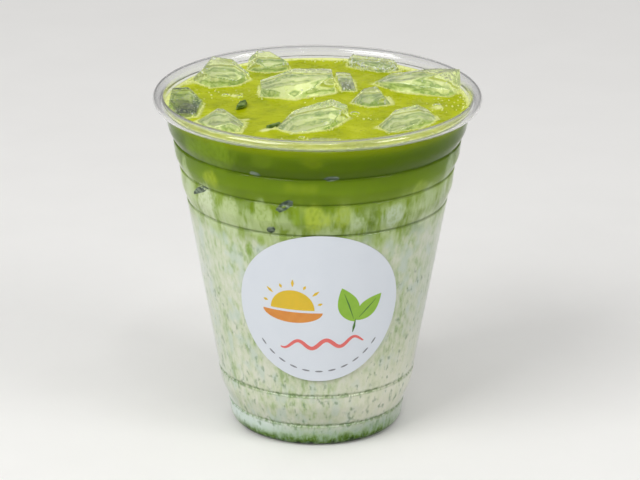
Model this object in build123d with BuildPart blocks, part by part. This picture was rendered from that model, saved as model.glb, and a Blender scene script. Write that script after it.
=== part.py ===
from build123d import *

import os
from math import cos, radians, sin, tan

# An iced matcha latte in a clear take-away cup: a thin cup with a rolled lip and stacking
# rings, a milk layer, the matcha layer above it, broken ice standing out of the drink and
# a round paper label on the front.
# The origin is the centre of the foot, +Z is up and the label faces -Y. All sizes are mm.

# ---- Cup ----
rim_radius = 49.0          # outside of the rolled lip
cup_height = 104.0         # foot to the top of the lip
wall = 0.5                 # sheet thickness, measured level
lip_roll_radius = 1.75     # outside of the roll that the lip is curled into
lip_curl_end = -125.0      # where the curled edge stops, seen in the roll's own circle
body_taper = 9.95          # lean of the long flanks, in degrees
band_lean = 5.8            # lean of the two short bands between the stacking rings

# ---- Stacking rings, measured down from the top of the lip ----
ring_depths = (13.5, 22.0, 32.1)
curl_heights = (2.7, 3.2, 3.9)     # how far above each ring its band starts to curl in
curl_insets = (1.45, 1.4, 1.5)     # how far each band curls in
groove_half_height = 0.45
groove_depth = 0.35
curl_fillet = 7.0
groove_fillet = 0.2

# ---- Heel and foot, measured up from the table ----
heel_ring_height = 17.9
heel_bulge_height = 13.4
heel_bulge_inset = 0.75
heel_fillet = 9.0
foot_ring_height = 7.1
foot_ring_inset = 3.05     # heel ring to foot ring
foot_corner_inset = 1.0    # foot ring to the corner of the foot
foot_corner = 3.2
foot_track = 4.3           # width of the ring that the cup stands on, corner included
base_lift = 2.4            # the middle of the base stands clear of the table
base_step = 1.5

# ---- Drink ----
film_gap = 0.1             # between the drink and the inside of the cup
headspace = 4.35           # top of the lip down to the drink
milk_depth = 24.5          # top of the lip down to the milk

# Rounded tongues of matcha that sink into the milk: bearing from the front in degrees,
# radius of the tongue and how far its lowest point hangs below the milk's top.
tongue_reach = 0.86        # their centres, as a share of the radius of the milk's top
tongues = (
    (-3, 10.5, 7.8),
    (33, 7.5, 4.5),
    (68, 9.5, 6.5),
    (108, 8.5, 5.0),
    (149, 10.0, 7.5),
    (191, 8.5, 5.5),
    (229, 8.5, 7.0),
    (270, 9.0, 5.0),
    (318, 8.0, 6.0),
)

# ---- Ice ----
# The pieces fill the round of the cup, so their places and level sizes are shares of the
# drink's radius. Each has its number of corners, its bearing from the right,
# counter-clockwise, its distance from the middle, its length and width, the turn of its
# length and its one or two top facets. A facet is given by its height above the drink over
# the piece's middle, its slope and the bearing that it rises towards.
ice_depth = 11.0           # how far the pieces reach below the drink's surface
ice_foot_share = 0.72      # width of a piece at its foot, against its widest
ice_wall_gap = 0.4
ice_headroom = 12.0        # the pieces may stand this far out of the cup
ice = (
    ("ice_far_left", 6, 185, 0.875, 0.54, 0.28, 99, ((2.5, 7, 150),)),
    ("ice_left_front", 5, 217, 0.750, 0.42, 0.33, 128, ((3.0, 16, 10), (3.6, 30, 190))),
    ("ice_left_back", 6, 141, 0.835, 0.44, 0.35, 38, ((4.4, 17, 150), (10.5, 48, 350))),
    ("ice_back_left", 5, 114, 0.870, 0.36, 0.26, 20, ((3.8, 13, 120), (7.0, 38, 210))),
    ("ice_centre", 6, 115, 0.340, 0.56, 0.52, 8, ((4.1, 7, 10), (8.4, 36, 93))),
    ("ice_front", 6, 266, 0.425, 0.54, 0.41, 43, ((2.7, 12, 70), (4.2, 17, 20))),
    ("ice_back_small", 4, 67, 0.475, 0.40, 0.15, 97, ((2.0, 6, 95),)),
    ("ice_back_right", 7, 65, 0.905, 0.47, 0.19, 155, ((2.6, 8, 80),)),
    ("ice_right_long", 6, 29, 0.770, 0.72, 0.34, 149, ((4.3, 13, 340), (8.2, 38, 75))),
    ("ice_mid_right", 5, 8, 0.355, 0.33, 0.25, 10, ((2.9, 17, 40), (7.0, 50, 190))),
    ("ice_right_front", 6, 325, 0.720, 0.48, 0.33, 40, ((2.8, 11, 60), (5.5, 32, 175))),
    ("ice_front_sliver", 5, 272, 0.785, 0.28, 0.10, 4, ((0.8, 3, 90),)),
)
ice_squareness = 0.6       # 0 gives round outlines, 1 gives boxes
ice_unevenness = 0.16      # share by which a corner may fall short
ice_corner_wobble = 9.0    # shift of the corners round the outline, in degrees
ice_wobble_step = 1.7      # radians of wobble from one corner to the next
ice_reach_step = 2.3       # radians of unevenness from one corner to the next
ice_piece_step = 1.1       # radians of both from one piece to the next
ice_side_lean = 6.0        # lean of the sides above the drink, in degrees

# ---- Label ----
label_diameter = 49.5
label_thickness = 0.15
glue_gap = 0.1
label_drop = 56.1          # top of the lip down to the label's centre
label_bearing = 1.33       # turn of its centre to the right of the front, in degrees

os.makedirs("parts", exist_ok=True)

# ---- Sizes that follow ----
fill_level = cup_height - headspace
milk_level = cup_height - milk_depth
lip_centre_height = cup_height - lip_roll_radius
lip_centre_radius = rim_radius - lip_roll_radius
lip_wall_radius = lip_centre_radius - lip_roll_radius + wall    # outside of the wall there
taper_slope = tan(radians(body_taper))
band_slope = tan(radians(band_lean))


def ring_points(radius, height):
    """The three corners of one groove, from its lower edge to its upper edge."""
    return [
        (radius, height - groove_half_height, groove_fillet),
        (radius - groove_depth, height, groove_fillet),
        (radius, height + groove_half_height, groove_fillet),
    ]


def flank_points():
    """Corners of the outside of the wall, from the lip down, each with its fillet."""
    points = []
    radius = lip_wall_radius
    height = lip_centre_height
    slopes = (taper_slope, band_slope, band_slope)
    for depth, curl_height, curl_inset, slope in zip(ring_depths, curl_heights, curl_insets, slopes):
        ring_height = cup_height - depth
        curl_start = ring_height + groove_half_height + curl_height
        radius -= (height - curl_start) * slope
        points.append((radius, curl_start, curl_fillet))
        radius -= curl_inset
        points.extend(reversed(ring_points(radius, ring_height)))
        height = ring_height - groove_half_height
    heel_top = heel_ring_height + groove_half_height
    radius -= (height - heel_top) * taper_slope
    points.extend(reversed(ring_points(radius, heel_ring_height)))
    points.append((radius - heel_bulge_inset, heel_bulge_height, heel_fillet))
    radius -= foot_ring_inset
    points.extend(reversed(ring_points(radius, foot_ring_height)))
    return points


wall_corners = flank_points()
top_curl = 0                            # places in that list: the curl over the top ring,
top_groove = 2                          # the top ring's groove
cone_top = 4 * len(ring_depths) - 1     # and the lower edge of the lowest stacking ring
foot_corner_radius = wall_corners[-1][0] - foot_corner_inset


def cup_outline(inset):
    """Corners of the wall and base, inset from the outside, from the axis up to the lip."""
    track_inside = foot_corner_radius - foot_track
    base = [
        (track_inside - base_step, base_lift + inset, base_step / 2),
        (track_inside, inset, base_step / 4),
        (foot_corner_radius - inset, inset, foot_corner - inset),
    ]
    flank = [(radius - inset, height, fillet) for radius, height, fillet in reversed(wall_corners)]
    return base + flank


def outline_path(inset, top_height):
    """The whole outline, from the axis to the given height on the wall under the lip."""
    corners = cup_outline(inset)
    top_radius = lip_wall_radius - inset - (lip_centre_height - top_height) * taper_slope
    points = [(0, base_lift + inset)]
    points += [(radius, height) for radius, height, fillet in corners]
    points.append((top_radius, top_height))
    return points, [fillet for radius, height, fillet in corners]


def roll_point(radius, angle):
    """A point on the rolled lip's circle."""
    return (
        lip_centre_radius + radius * cos(radians(angle)),
        lip_centre_height + radius * sin(radians(angle)),
    )


def wall_radius(inset, height):
    """Radius of the straight flank over the top ring or, lower down, of the cone's line."""
    if height >= wall_corners[top_curl][1]:
        return lip_wall_radius - inset - (lip_centre_height - height) * taper_slope
    cone_top_radius, cone_top_height = wall_corners[cone_top][:2]
    return cone_top_radius - inset - (cone_top_height - height) * taper_slope


# ---- Cup: wall, base and rolled lip in one sheet ----
with BuildPart() as cup:
    with BuildSketch(Plane.XZ):
        with BuildLine():
            outer_points, outer_fillets = outline_path(0, lip_centre_height)
            inner_points, inner_fillets = outline_path(wall, lip_centre_height)
            roll_inside = lip_roll_radius - wall
            roll_middle = (180 + lip_curl_end) / 2
            FilletPolyline(*outer_points, radius=outer_fillets)
            ThreePointArc(
                outer_points[-1],
                roll_point(roll_inside, roll_middle),
                roll_point(roll_inside, lip_curl_end),
            )
            Line(roll_point(roll_inside, lip_curl_end), roll_point(lip_roll_radius, lip_curl_end))
            ThreePointArc(
                roll_point(lip_roll_radius, lip_curl_end),
                roll_point(lip_roll_radius, roll_middle),
                inner_points[-1],
            )
            FilletPolyline(*inner_points, radius=inner_fillets)
            Line(outer_points[0], inner_points[0])
        make_face()
    revolve(axis=Axis.Z)
cup.part.label = "cup"

# ---- Space inside the cup: the drink fills it, and the ice stands within it ----
drink_inset = wall + film_gap
with BuildPart() as drink_space:
    with BuildSketch(Plane.XZ):
        with BuildLine():
            space_points, space_fillets = outline_path(drink_inset, fill_level)
            FilletPolyline(*space_points, radius=space_fillets)
            Polyline(space_points[-1], (0, fill_level), space_points[0])
        make_face()
    revolve(axis=Axis.Z)

surface_radius = wall_radius(drink_inset, fill_level)
with BuildPart() as ice_space:
    with BuildSketch(Plane.XZ):
        with BuildLine():
            ice_foot = fill_level - ice_depth
            ice_inset = wall + ice_wall_gap
            curl_radius, curl_height = wall_corners[top_curl][:2]
            ring_height = wall_corners[top_groove][1]
            narrowest = min(radius for radius, height, fillet in wall_corners if height >= ice_foot)
            Polyline(
                (0, ice_foot),
                (narrowest - ice_inset, ice_foot),
                (narrowest - ice_inset, ring_height),
                (curl_radius - ice_inset, curl_height),
                (lip_wall_radius - ice_inset, lip_centre_height),
                (lip_wall_radius - ice_inset, cup_height + ice_headroom),
                (0, cup_height + ice_headroom),
                close=True,
            )
        make_face()
    revolve(axis=Axis.Z)


# ---- Ice: broken pieces with flat facets, each wider at the surface than at its foot ----
def ice_outline(corner_count, length, width, phase):
    """Corners of one uneven piece, seen from above."""
    corners = []
    for corner in range(corner_count):
        wobble = ice_corner_wobble * sin(ice_wobble_step * corner + phase)
        angle = radians(360 * (corner + 0.5) / corner_count + wobble)
        reach = 1 - ice_unevenness * (1 + sin(ice_reach_step * corner + phase)) / 2
        reach /= max(abs(cos(angle)), abs(sin(angle))) ** ice_squareness
        corners.append((reach * length / 2 * cos(angle), reach * width / 2 * sin(angle)))
    return corners


ice_pieces = []
for count, piece_sizes in enumerate(ice):
    name, corner_count, bearing, distance, length, width, turn, facets = piece_sizes
    centre_x = distance * surface_radius * cos(radians(bearing))
    centre_y = distance * surface_radius * sin(radians(bearing))
    phase = ice_piece_step * count
    outline = ice_outline(corner_count, length * surface_radius, width * surface_radius, phase)
    with BuildPart() as ice_piece:
        foot_plane = Plane(
            origin=(centre_x, centre_y, fill_level - ice_depth),
            x_dir=(cos(radians(turn)), sin(radians(turn)), 0),
            z_dir=(0, 0, 1),
        )
        with BuildSketch(foot_plane):
            Polygon(*[(x * ice_foot_share, y * ice_foot_share) for x, y in outline], align=None)
        with BuildSketch(foot_plane.offset(ice_depth)):
            Polygon(*outline, align=None)
        loft(ruled=True)
        with BuildSketch(foot_plane.offset(ice_depth)):
            Polygon(*outline, align=None)
        extrude(amount=length * surface_radius, taper=ice_side_lean)
        for height, slope, rise in facets:
            tilt = radians(slope)
            facet_plane = Plane(
                origin=(centre_x, centre_y, fill_level + height),
                z_dir=(-sin(tilt) * cos(radians(rise)), -sin(tilt) * sin(radians(rise)), cos(tilt)),
            )
            split(bisect_by=facet_plane, keep=Keep.BOTTOM)
        add(ice_space.part, mode=Mode.INTERSECT)
    ice_piece.part.label = name
    ice_pieces.append(ice_piece.part)

# ---- Drink: milk below, matcha above, their border sunk in rounded tongues ----
with BuildPart() as matcha_tongues:
    tongue_distance = tongue_reach * wall_radius(drink_inset, milk_level)
    for bearing, radius, hang in tongues:
        angle = radians(bearing - 90)
        centre = (tongue_distance * cos(angle), tongue_distance * sin(angle), milk_level + radius - hang)
        with Locations(Location(centre, (0, 0, bearing + 90))):
            Sphere(radius)
    split(bisect_by=Plane.XY.offset(milk_level), keep=Keep.BOTTOM)
    add(drink_space.part, mode=Mode.INTERSECT)

with BuildPart() as milk_layer:
    add(drink_space.part)
    split(bisect_by=Plane.XY.offset(milk_level), keep=Keep.BOTTOM)
    add(matcha_tongues.part, mode=Mode.SUBTRACT)
milk_layer.part.label = "milk_layer"

with BuildPart() as matcha_layer:
    add(drink_space.part)
    split(bisect_by=Plane.XY.offset(milk_level), keep=Keep.TOP)
    add(matcha_tongues.part)
    for piece in ice_pieces:
        add(piece, mode=Mode.SUBTRACT)
matcha_layer.part.label = "matcha_layer"

# ---- Label: a round of paper wrapped on the wall, with the same ups and downs ----
label_height = cup_height - label_drop
label_wrap_radius = wall_radius(0, label_height)
label_half_width = label_wrap_radius * sin(label_diameter / 2 / label_wrap_radius)
label_half_height = label_diameter / 2 * cos(radians(body_taper))
label_plane = Plane(
    origin=(0, 0, label_height),
    x_dir=(cos(radians(label_bearing)), sin(radians(label_bearing)), 0),
    z_dir=(sin(radians(label_bearing)), -cos(radians(label_bearing)), 0),
)
with BuildPart() as label:
    with BuildSketch(Plane.XZ):
        with BuildLine():
            paper_back, paper_fillets = outline_path(-glue_gap, lip_centre_height)
            paper_front = outline_path(-glue_gap - label_thickness, lip_centre_height)[0]
            paper_start = paper_back.index((foot_corner_radius + glue_gap, -glue_gap))
            FilletPolyline(*paper_back[paper_start:], radius=paper_fillets[paper_start:])
            FilletPolyline(*paper_front[paper_start:], radius=paper_fillets[paper_start:])
            Line(paper_back[paper_start], paper_front[paper_start])
            Line(paper_back[-1], paper_front[-1])
        make_face()
    revolve(axis=Axis.Z)
    with BuildSketch(label_plane):
        Ellipse(label_half_width, label_half_height)
    extrude(amount=rim_radius, mode=Mode.INTERSECT)
label.part.label = "label"

export_step(cup.part, "parts/cup.step")
export_step(milk_layer.part, "parts/milk_layer.step")
export_step(matcha_layer.part, "parts/matcha_layer.step")
export_step(label.part, "parts/label.step")
for piece in ice_pieces:
    export_step(piece, f"parts/{piece.label}.step")
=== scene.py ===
import math
import random

import bmesh
import bpy
import numpy as np
from mathutils import Matrix, Vector, noise
from mathutils.kdtree import KDTree


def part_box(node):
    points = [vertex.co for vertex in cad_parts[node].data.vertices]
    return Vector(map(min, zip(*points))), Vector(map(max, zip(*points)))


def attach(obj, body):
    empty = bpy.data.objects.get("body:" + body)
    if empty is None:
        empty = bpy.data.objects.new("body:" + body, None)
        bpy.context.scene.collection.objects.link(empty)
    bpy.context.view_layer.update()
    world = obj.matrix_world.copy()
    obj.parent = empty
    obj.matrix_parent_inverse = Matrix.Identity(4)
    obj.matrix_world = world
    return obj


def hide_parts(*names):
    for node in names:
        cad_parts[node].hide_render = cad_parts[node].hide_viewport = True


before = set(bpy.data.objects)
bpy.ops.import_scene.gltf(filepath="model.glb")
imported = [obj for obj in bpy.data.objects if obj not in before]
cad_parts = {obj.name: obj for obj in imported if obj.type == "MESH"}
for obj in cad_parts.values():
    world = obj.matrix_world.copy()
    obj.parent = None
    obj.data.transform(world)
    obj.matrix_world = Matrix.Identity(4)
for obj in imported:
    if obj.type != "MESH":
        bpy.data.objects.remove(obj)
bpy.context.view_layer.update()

# An iced matcha latte in a clear take-away cup: the thin plastic cup, the milk and the matcha
# in it, broken ice standing out of the drink and a round paper label on the front.
# Sizes are in millimetres and are turned into metres where a mesh or a shader is made.
# The label faces -Y, and a bearing is in degrees from there, counter-clockwise from above.
MM = 0.001
RNG = random.Random(7)
SHARP = math.radians(50)   # edges that turn by more than this stay sharp

# ---------------------------------------------------------------- sizes from the frame
RIM_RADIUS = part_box("cup")[1].x / MM
CUP_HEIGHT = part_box("cup")[1].z / MM
FILL_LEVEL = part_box("matcha_layer")[1].z / MM
MILK_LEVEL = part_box("milk_layer")[1].z / MM
LABEL_LOW, LABEL_HIGH = (corner.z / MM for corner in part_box("label"))
ICE_NODES = sorted(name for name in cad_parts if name.startswith("ice_"))

# ---------------------------------------------------------------- the cup's own sizes
WALL = 0.5
LIP_ROLL = 1.75            # radius of the lip's roll
LIP_CURL_END = -125.0      # degrees to which it is rolled
LIP_THINNING = 60.0        # degrees over which the curled sheet thins towards its end
LIP_END = 0.15             # share of the sheet's thickness that is left there
LIP_STEPS = 30
TAPER_ANGLE = math.radians(9.95)
TAPER = math.tan(TAPER_ANGLE)
BAND_LEAN = math.tan(math.radians(5.8))    # lean of the bands between the stacking rings
RING_DEPTHS = (13.5, 22.0, 32.1)    # from the top of the lip
CURL_HEIGHTS = (2.7, 3.2, 3.9)
CURL_INSETS = (1.45, 1.4, 1.5)
GROOVE_HALF = 0.45
GROOVE_DEPTH = 0.35
CURL_FILLET = 7.0
GROOVE_FILLET = 0.2
HEEL_RING = 17.9                    # from the table
HEEL_BULGE = 13.4
HEEL_INSET = 0.75
HEEL_FILLET = 9.0
FOOT_RING = 7.1
FOOT_RING_INSET = 3.05
FOOT_CORNER_INSET = 1.0
FOOT_CORNER = 3.2
FOOT_TRACK = 4.3
BASE_LIFT = 2.4
BASE_STEP = 1.5
CUP_SIDES = 240

# ---------------------------------------------------------------- drink
DRINK_SIDES = 300
WALL_ROW = 0.5             # height of a row of faces up the drink's wall
SURFACE_ROW = 0.6          # width of a ring of faces on its surface
SHORE_ROW = 0.15           # and of the first rings next to the wall
SHORE_RINGS = 14
WALL_RISE = 0.75           # the drink climbs this far up the wall
WALL_REACH = 0.9
ICE_RISE = 0.50            # and up the ice
ICE_REACH = 1.0
SWELL = 0.12               # slow waves of the surface
SWELL_LENGTH = 9.0
BORDER_SWING = 5.0         # the milk stands higher at the sides than at the front and back
BORDER_WAVES = ((1.9, 3, 0.6), (1.3, 5, 2.1))    # height, number round the cup and shift
BORDER_REACH = 9.0         # more than the border strays from the milk's level
BORDER_RINGS = 24
DOUBLED = 0.01             # points closer than this become one
AGAINST_PLASTIC = 0.12     # faces closer than this to the wall are seen through the plastic

# ---------------------------------------------------------------- ice
ICE_VOXEL = 0.4
ICE_ROUNDS = 3             # smoothing passes, as of edges that have begun to melt
ICE_SINK = 0.15            # the ice reaches this far into the drink that touches it
ICE_WAVES = ((4.5, 0.20), (1.7, 0.07))    # size and depth of the ups and downs of its faces
CHIP_POINTS = 16
CHIP_VOXEL = 0.2


def srgb(red, green, blue):
    """A colour given as 0 to 255, as the shader's linear colour."""
    channels = []
    for value in (red, green, blue):
        share = value / 255
        channels.append(share / 12.92 if share <= 0.04045 else ((share + 0.055) / 1.055) ** 2.4)
    return (*channels, 1.0)


def around(bearing, radius, height):
    """The point at a bearing from the front, a radius and a height."""
    angle = math.radians(bearing - 90)
    return Vector((radius * math.cos(angle), radius * math.sin(angle), height))


def in_scene(name, data):
    """A new object in the scene."""
    made = bpy.data.objects.new(name, data)
    bpy.context.scene.collection.objects.link(made)
    return made


def add_piece(name, mesh, slot, *replaced):
    """Links a mesh as one piece of the drink, which rides on the only body."""
    piece = in_scene(name, mesh)
    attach(piece, "root")
    if replaced:
        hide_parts(*replaced)
    return piece


def make_mesh(name, vertices, faces, sharp=SHARP):
    """A smooth mesh from points in millimetres, with sharp edges over an angle."""
    mesh = bpy.data.meshes.new(name)
    mesh.from_pydata([tuple(c * MM for c in vertex) for vertex in vertices], [], faces)
    mesh.validate()
    mesh.shade_smooth()
    mesh.set_sharp_from_angle(angle=sharp)
    return mesh


def evaluated(mesh, *modifiers):
    """The mesh after modifiers, each given as (type, settings)."""
    holder = in_scene("evaluated", mesh)
    for kind, settings in modifiers:
        modifier = holder.modifiers.new(kind.lower(), kind)
        for key, value in settings.items():
            setattr(modifier, key, value)
    depsgraph = bpy.context.evaluated_depsgraph_get()
    result = bpy.data.meshes.new_from_object(holder.evaluated_get(depsgraph))
    bpy.data.objects.remove(holder)
    return result


def as_mesh(name, form):
    """A new mesh of what was built in a bmesh, which is then let go."""
    mesh = bpy.data.meshes.new(name)
    form.to_mesh(mesh)
    form.free()
    return mesh


def joined(name, meshes):
    """One mesh that holds all the given meshes."""
    form = bmesh.new()
    for mesh in meshes:
        form.from_mesh(mesh)
    whole = as_mesh(name, form)
    whole.shade_smooth()
    return whole


def points_of(mesh):
    """The mesh's points in millimetres, a row for each."""
    points = np.empty(len(mesh.vertices) * 3)
    mesh.vertices.foreach_get("co", points)
    return points.reshape(-1, 3) / MM


def set_points(mesh, points):
    """Moves the mesh's points to new places in millimetres."""
    mesh.vertices.foreach_set("co", (points * MM).ravel())
    mesh.update()


def ring_of_faces(inner, outer, sides):
    """Faces between two rings of points, each ring given by the number of its first point."""
    faces = []
    for i in range(sides):
        j = (i + 1) % sides
        faces.append((inner + i, outer + i, outer + j, inner + j))
    return faces


# ---------------------------------------------------------------- outline of the wall


def ring_corners(radius, height):
    """Corners of one groove from its upper edge down, each with its fillet."""
    return [
        (radius, height + GROOVE_HALF, GROOVE_FILLET),
        (radius - GROOVE_DEPTH, height, GROOVE_FILLET),
        (radius, height - GROOVE_HALF, GROOVE_FILLET),
    ]


def flank_corners():
    """Corners of the outside of the wall, from the lip down, each with its fillet."""
    corners = []
    radius = RIM_RADIUS - 2 * LIP_ROLL + WALL
    height = CUP_HEIGHT - LIP_ROLL
    leans = (TAPER, BAND_LEAN, BAND_LEAN)
    for depth, curl_height, curl_inset, lean in zip(RING_DEPTHS, CURL_HEIGHTS, CURL_INSETS, leans):
        ring_height = CUP_HEIGHT - depth
        curl_start = ring_height + GROOVE_HALF + curl_height
        radius -= (height - curl_start) * lean
        corners.append((radius, curl_start, CURL_FILLET))
        radius -= curl_inset
        corners.extend(ring_corners(radius, ring_height))
        height = ring_height - GROOVE_HALF
    radius -= (height - HEEL_RING - GROOVE_HALF) * TAPER
    corners.extend(ring_corners(radius, HEEL_RING))
    corners.append((radius - HEEL_INSET, HEEL_BULGE, HEEL_FILLET))
    radius -= FOOT_RING_INSET
    corners.extend(ring_corners(radius, FOOT_RING))
    return corners


def rounded(corners, step=math.radians(7)):
    """Points of a line of (radius, height, fillet) corners, the corners turned into arcs."""
    points = [Vector(corners[0][:2])]
    for before, here, after in zip(corners, corners[1:], corners[2:]):
        corner = Vector(here[:2])
        back = (Vector(before[:2]) - corner).normalized()
        ahead = (Vector(after[:2]) - corner).normalized()
        turn = math.pi - back.angle(ahead)
        reach = here[2] * math.tan(turn / 2)
        pieces = max(2, round(turn / step))
        start = corner + back * reach
        end = corner + ahead * reach
        centre = corner + (back + ahead).normalized() * math.hypot(here[2], reach)
        for i in range(pieces + 1):
            away = start.lerp(end, i / pieces) - centre
            points.append(centre + away.normalized() * here[2])
    points.append(Vector(corners[-1][:2]))
    return points


def outline(inset, top_height):
    """Points of the wall and base, inset from the outside, from the axis up to a height."""
    corners = flank_corners()
    foot_radius = corners[-1][0] - FOOT_CORNER_INSET
    track_inside = foot_radius - FOOT_TRACK
    top_radius = RIM_RADIUS - 2 * LIP_ROLL + WALL - inset
    top_radius -= (CUP_HEIGHT - LIP_ROLL - top_height) * TAPER
    path = [
        (0, BASE_LIFT + inset, 0),
        (track_inside - BASE_STEP, BASE_LIFT + inset, BASE_STEP / 2),
        (track_inside, inset, BASE_STEP / 4),
        (foot_radius - inset, inset, FOOT_CORNER - inset),
    ]
    path += [(radius - inset, height, fillet) for radius, height, fillet in reversed(corners)]
    path.append((top_radius, top_height, 0))
    return rounded(path)


DRINK_OUTLINE = outline(WALL / 2, CUP_HEIGHT - LIP_ROLL)
LOWEST = max(range(len(DRINK_OUTLINE)), key=lambda i: (-DRINK_OUTLINE[i].y, i))
WALL_HEIGHTS = [point.y for point in DRINK_OUTLINE[LOWEST:]]
WALL_RADII = [point.x for point in DRINK_OUTLINE[LOWEST:]]


def drink_radius(height):
    """Radius of the drink's wall, which reaches to the middle of the plastic."""
    return float(np.interp(height, WALL_HEIGHTS, WALL_RADII))


def lathe(path, sides):
    """Vertices and faces of a closed path turned round the Z axis, where its ends lie."""
    vertices, faces, rings = [], [], []
    for radius, height in path:
        if radius < 1e-6:
            rings.append([len(vertices)] * sides)
            vertices.append((0, 0, height))
            continue
        rings.append(range(len(vertices), len(vertices) + sides))
        for i in range(sides):
            angle = 2 * math.pi * i / sides
            vertices.append((radius * math.cos(angle), radius * math.sin(angle), height))
    for low, high in zip(rings, rings[1:]):
        for i in range(sides):
            j = (i + 1) % sides
            corners = (low[i], low[j], high[j], high[i])
            faces.append(tuple(dict.fromkeys(corners)))
    return vertices, faces


# ---------------------------------------------------------------- cup


def make_cup():
    """The thin wall with its rings, the raised base and the lip curled into a roll."""
    lip_height = CUP_HEIGHT - LIP_ROLL
    lip_radius = RIM_RADIUS - LIP_ROLL
    sweep = LIP_CURL_END - 180
    angles = [math.radians(180 + sweep * i / LIP_STEPS) for i in range(LIP_STEPS + 1)]
    roll = []
    for side, way in ((-1, angles), (0, reversed(angles))):
        for angle in way:
            left = math.degrees(angle) - LIP_CURL_END
            thickness = WALL * min(1, LIP_END + left / LIP_THINNING)
            radius = LIP_ROLL + side * thickness
            point = (lip_radius + radius * math.cos(angle), lip_height + radius * math.sin(angle))
            roll.append(point)
    outside = [tuple(point) for point in outline(0, lip_height)[:-1]]
    inside = [tuple(point) for point in outline(WALL, lip_height)[:-1]]
    vertices, faces = lathe(outside + roll + inside[::-1], CUP_SIDES)
    return add_piece("clear_cup", make_mesh("clear_cup", vertices, faces), "clear_plastic", "cup")


# ---------------------------------------------------------------- ice

# Scoops melted or chipped out of the pieces: the place of a sphere's centre as shares of the
# piece's box, from its left, front and foot, and its radius.
ICE_SCOOPS = {
    "ice_centre": ((0.30, 0.30, 1.25, 5.5), (0.75, 0.55, 1.45, 6.5), (-0.08, -0.10, 0.9, 6.0)),
    "ice_front": ((0.45, 0.75, 1.20, 4.5), (0.62, 0.15, 1.15, 3.2)),
    "ice_far_left": ((0.55, 0.50, 1.20, 4.0),),
    "ice_left_front": ((0.25, 0.25, 1.20, 4.0), (0.85, 0.75, 1.25, 4.5)),
    "ice_left_back": ((0.80, 0.40, 1.50, 9.5),),
    "ice_back_left": ((0.70, 0.30, 1.30, 5.5),),
    "ice_right_long": ((0.25, 0.80, 1.00, 5.0), (0.62, 0.45, 1.30, 8.0)),
    "ice_right_front": ((0.25, 0.30, 1.15, 4.5), (0.75, 0.85, 1.25, 4.0)),
    "ice_mid_right": ((0.20, 0.70, 1.20, 3.5),),
}


def relax(points, edges, rounds):
    """Moves each point to the middle of its neighbours, a few times."""
    neighbours = np.bincount(edges.ravel(), minlength=len(points))[:, None]
    for _ in range(rounds):
        total = np.zeros_like(points)
        np.add.at(total, edges[:, 0], points[edges[:, 1]])
        np.add.at(total, edges[:, 1], points[edges[:, 0]])
        points = (points + total / neighbours) / 2
    return points


def melted(mesh, scoops, voxel=ICE_VOXEL):
    """A flat-faceted piece with rounded edges, scooped faces and gentle ups and downs."""
    solid = bmesh.new()
    solid.from_mesh(mesh)
    bmesh.ops.remove_doubles(solid, verts=solid.verts, dist=1e-6)
    remesh = ("REMESH", {"mode": "VOXEL", "voxel_size": voxel * MM})
    fine = evaluated(as_mesh("welded", solid), remesh)
    points = points_of(fine)
    low = points.min(axis=0)
    size = points.max(axis=0) - low
    for x, y, z, radius in scoops:
        away = points - (low + size * (x, y, z))
        distance = np.linalg.norm(away, axis=1)[:, None]
        points += away * np.maximum(0, radius / np.maximum(distance, 0.1) - 1)
    edges = np.empty(len(fine.edges) * 2, dtype=np.int32)
    fine.edges.foreach_get("vertices", edges)
    set_points(fine, relax(points, edges.reshape(-1, 2), ICE_ROUNDS))
    normals = np.array([vertex.normal for vertex in fine.vertices])
    points = points_of(fine)
    for wave, depth in ICE_WAVES:
        waves = np.array([noise.noise(Vector(point) / wave) for point in points])
        points -= normals * (depth * (0.5 + waves))[:, None]
    set_points(fine, points)
    fine.shade_smooth()
    return fine


def chip(centre, size, turn, seed):
    """A small broken bit of ice: the hull of points near an ellipsoid."""
    pick = random.Random(seed)
    tilt = Matrix.Rotation(math.radians(turn), 3, "Z")
    form = bmesh.new()
    for _ in range(CHIP_POINTS):
        away = Vector([pick.gauss(0, 1) for _ in range(3)]).normalized() * pick.uniform(0.8, 1)
        offset = tilt @ Vector([a * s / 2 for a, s in zip(away, size)])
        form.verts.new((Vector(centre) + offset) * MM)
    hull = bmesh.ops.convex_hull(form, input=form.verts)
    bmesh.ops.delete(form, geom=hull["geom_interior"], context="VERTS")
    return melted(as_mesh("chip", form), (), voxel=CHIP_VOXEL)


def make_ice():
    """Each piece of ice, from its own solid."""
    pieces = []
    for name in ICE_NODES:
        mesh = melted(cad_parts[name].data, ICE_SCOOPS.get(name, ()))
        pieces.append(add_piece(name + "_clear", mesh, "ice", name))
    return pieces


# Splinters too small to be pieces of their own: centre, size, turn and seed.
SPLINTERS = (
    ((-22.0, -16.5, 99.2), (5.5, 2.6, 2.6), 30, 3),
    ((-14.0, -24.5, 99.2), (6.5, 1.8, 2.4), 42, 5),
    ((-25.0, 7.5, 99.3), (2.4, 1.6, 1.6), 20, 8),
    ((36.0, -3.0, 99.2), (3.0, 2.2, 1.8), 60, 9),
)
# Chips that stand in the shade between two pieces, in the same way.
SHADED_CHIPS = (
    ((-22.4, -3.0, 100.1), (3.4, 9.5, 4.2), -20, 11),
    ((-12.6, -22.4, 100.2), (8.0, 3.4, 3.8), 40, 12),
)
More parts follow.
